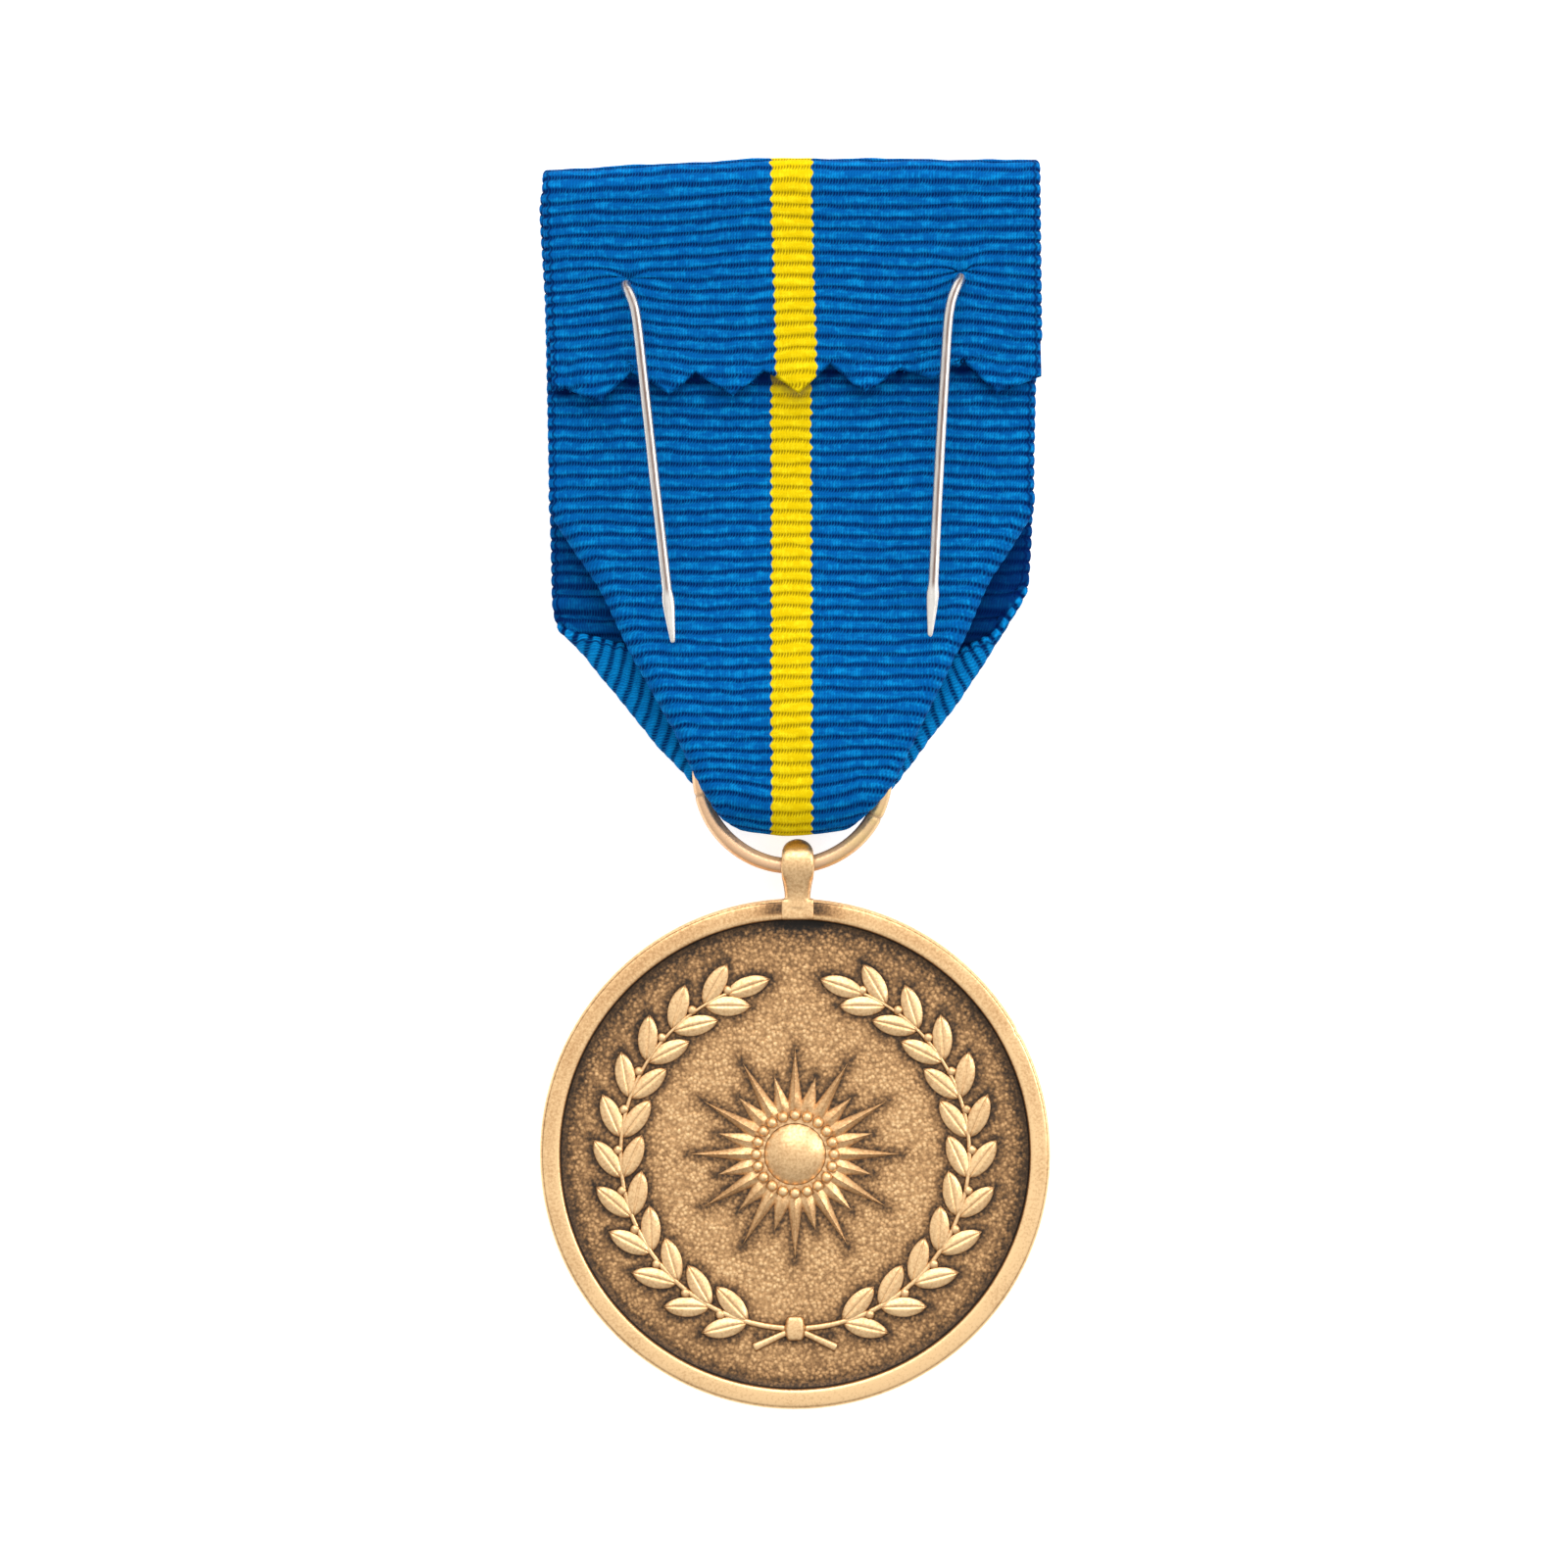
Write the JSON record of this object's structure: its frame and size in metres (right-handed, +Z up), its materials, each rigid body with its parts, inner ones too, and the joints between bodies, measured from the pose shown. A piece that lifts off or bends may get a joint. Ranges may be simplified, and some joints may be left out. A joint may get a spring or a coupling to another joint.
{
  "type": "military medal",
  "caption": "Round bronze medallion on a slack ring, hung from a folded striped ribbon with two wire prongs at the back for pinning it to a coat.",
  "frame": {"origin": "middle of the whole outline seen from above, on the surface that the medal lies on", "axes": "+Y from the medallion to the ribbon's top edge, +Z up from the surface, towards the side with the prongs"},
  "size_m": [0.0361, 0.0882, 0.0064],
  "materials": {
    "antique_bronze": "struck bronze, dark patina in the recesses, rubbed on the high places",
    "copper_wire": "satin copper-bronze wire with a brown patina",
    "ribbed_ribbon": "ribbed blue cloth with a yellow centre stripe",
    "steel_wire": "bright drawn wire"
  },
  "bodies": {
    "root": {"medallion": "antique_bronze", "suspension_ring": "copper_wire", "ribbon": "ribbed_ribbon", "brooch_pin": "steel_wire"}
  },
  "joints": []
}
